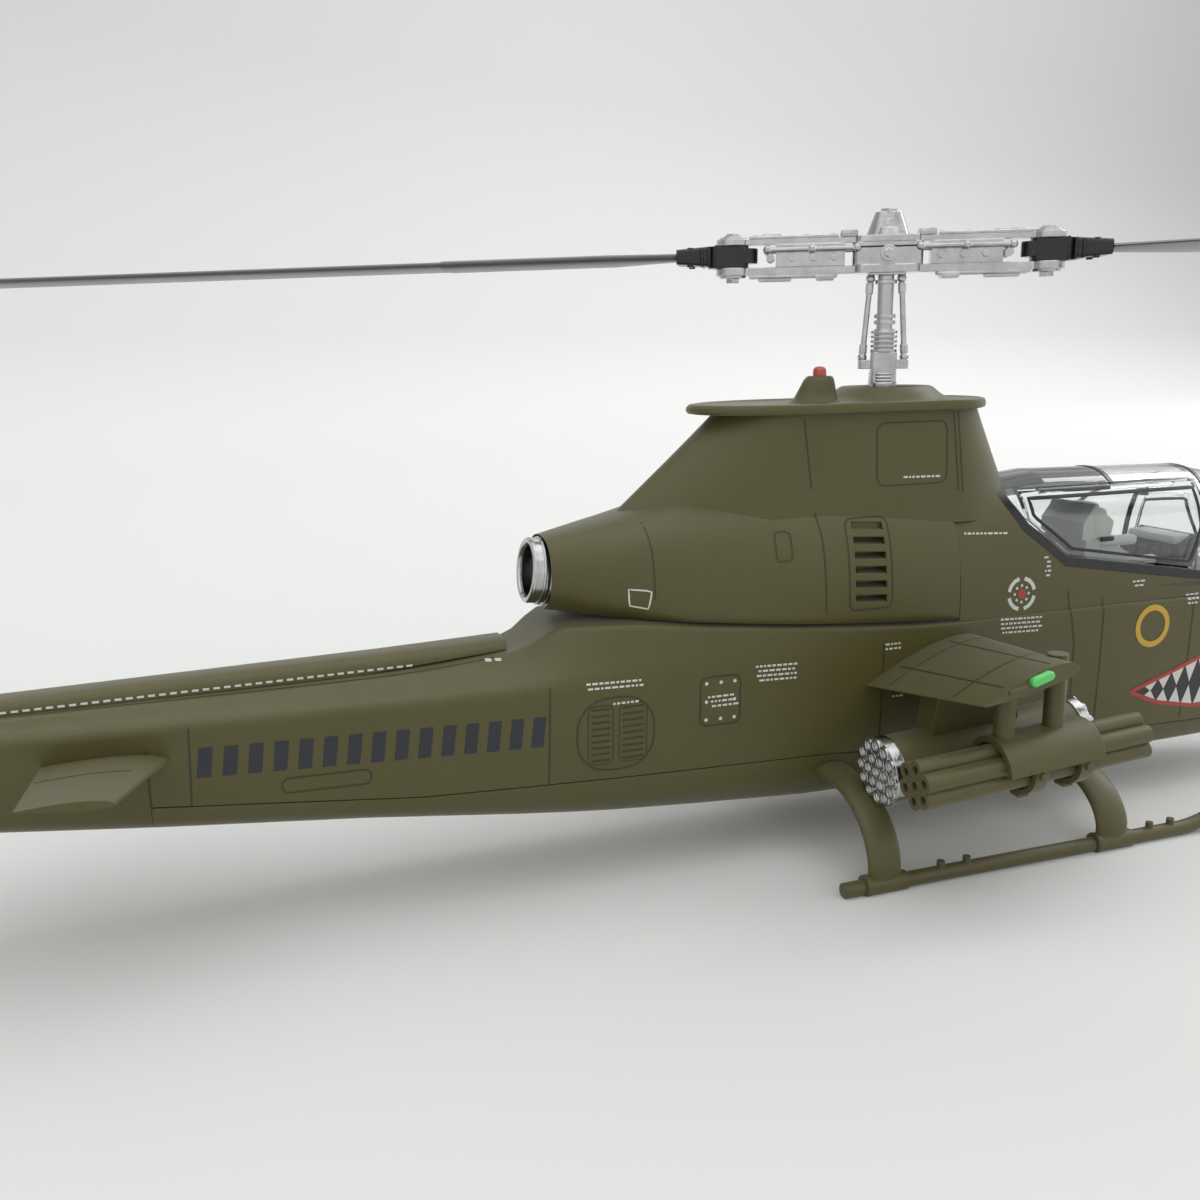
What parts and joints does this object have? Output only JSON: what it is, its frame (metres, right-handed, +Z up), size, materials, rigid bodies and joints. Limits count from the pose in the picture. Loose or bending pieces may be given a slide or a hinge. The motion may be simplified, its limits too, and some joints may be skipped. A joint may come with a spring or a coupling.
{
  "type": "toy helicopter",
  "caption": "Die-cast style model of a slender two-seat military helicopter with a two-blade rotor, stub wings with rocket pods, skids and opening canopy doors.",
  "frame": {"origin": "on the ground straight under the main rotor mast", "axes": "+X to the nose, +Y to port, +Z up"},
  "size_m": [0.3145, 0.15, 0.0871],
  "materials": {
    "olive_paint": "matte",
    "silver_paint": "metallic paint",
    "dark_metal": "satin",
    "steel": "satin",
    "black_plastic": "satin",
    "blade_grey": "satin",
    "clear_plastic": "clear gloss",
    "cockpit_grey": "matte",
    "seat_grey": "matte",
    "red_lens": "gloss",
    "green_lens": "gloss"
  },
  "bodies": {
    "airframe": {"beacon_lens": "red_lens", "belly_pan": "olive_paint", "belly_screws": "steel", "canopy_frame": "black_plastic", "canopy_glass": "clear_plastic", "cockpit_tub": "cockpit_grey", "drive_shaft_cover": "olive_paint", "elevator_port": "olive_paint", "elevator_starboard": "olive_paint", "engine_cowling": "olive_paint", "exhaust_core": "dark_metal", "exhaust_ring": "silver_paint", "front_legs": "olive_paint", "gunner_seat": "seat_grey", "gunsight": "black_plastic", "hull_casting": "olive_paint", "inboard_pylons": "olive_paint", "instrument_panel": "black_plastic", "mast_bush": "black_plastic", "nav_light_port": "red_lens", "nav_light_starboard": "green_lens", "nineteen_tube_pod_port": "olive_paint", "nineteen_tube_pod_starboard": "olive_paint", "outboard_cradles": "olive_paint", "pilot_seat": "seat_grey", "pitot_tube": "silver_paint", "pod_front_bezels": "silver_paint", "pod_rear_bezel_port": "silver_paint", "pod_rear_bezel_starboard": "silver_paint", "pod_straps": "olive_paint", "pylon_cap": "olive_paint", "rear_legs": "olive_paint", "seven_tube_pod_port": "olive_paint", "seven_tube_pod_starboard": "olive_paint", "skid_tube_port": "olive_paint", "skid_tube_starboard": "olive_paint", "tail_fin": "olive_paint", "tail_gearbox": "olive_paint", "tail_skid": "silver_paint", "wing_port": "olive_paint", "wing_starboard": "olive_paint"},
    "main_rotor": {"mast_shaft": "steel", "swashplate": "silver_paint", "mast_boot": "silver_paint", "pitch_links": "silver_paint", "hub_yoke_lower": "silver_paint", "hub_yoke_upper": "silver_paint", "blade_pins": "steel", "blade_root_front": "black_plastic", "blade_root_rear": "black_plastic", "main_blade_front": "blade_grey", "main_blade_rear": "blade_grey"},
    "tail_rotor": {"tail_rotor_hub": "silver_paint", "tail_rotor_blades": "blade_grey"},
    "turret": {"turret_dome": "olive_paint"},
    "guns": {"gun_cradle": "dark_metal", "minigun": "dark_metal", "grenade_launcher": "dark_metal"},
    "pilot_door": {"pilot_door": "clear_plastic"},
    "gunner_door": {"gunner_door": "clear_plastic"}
  },
  "joints": [
    {"name": "main_rotor_spin", "type": "hinge", "parent": "airframe", "child": "main_rotor", "pos_m": [0, 0, 0.0791], "axis": [0, 0, 1], "continuous": true},
    {"name": "tail_rotor_spin", "type": "hinge", "parent": "airframe", "child": "tail_rotor", "pos_m": [-0.1697, 0.0053, 0.0602], "axis": [0, 1, 0], "continuous": true},
    {"name": "turret_turn", "type": "hinge", "parent": "airframe", "child": "turret", "pos_m": [0.0656, 0, 0.0121], "axis": [0, 0, 1], "range_deg": [-110, 110]},
    {"name": "gun_elevation", "type": "hinge", "parent": "turret", "child": "guns", "pos_m": [0.0634, 0, 0.0079], "axis": [0, -1, 0], "range_deg": [-12, 8]},
    {"name": "pilot_door_hinge", "type": "hinge", "parent": "airframe", "child": "pilot_door", "pos_m": [0.034, -0.00575, 0.0463], "axis": [-1, 0, 0], "range_deg": [0, 60]},
    {"name": "gunner_door_hinge", "type": "hinge", "parent": "airframe", "child": "gunner_door", "pos_m": [0.0574, 0.00635, 0.0426], "axis": [0.9806, -0.1961, 0], "range_deg": [0, 60]}
  ]
}
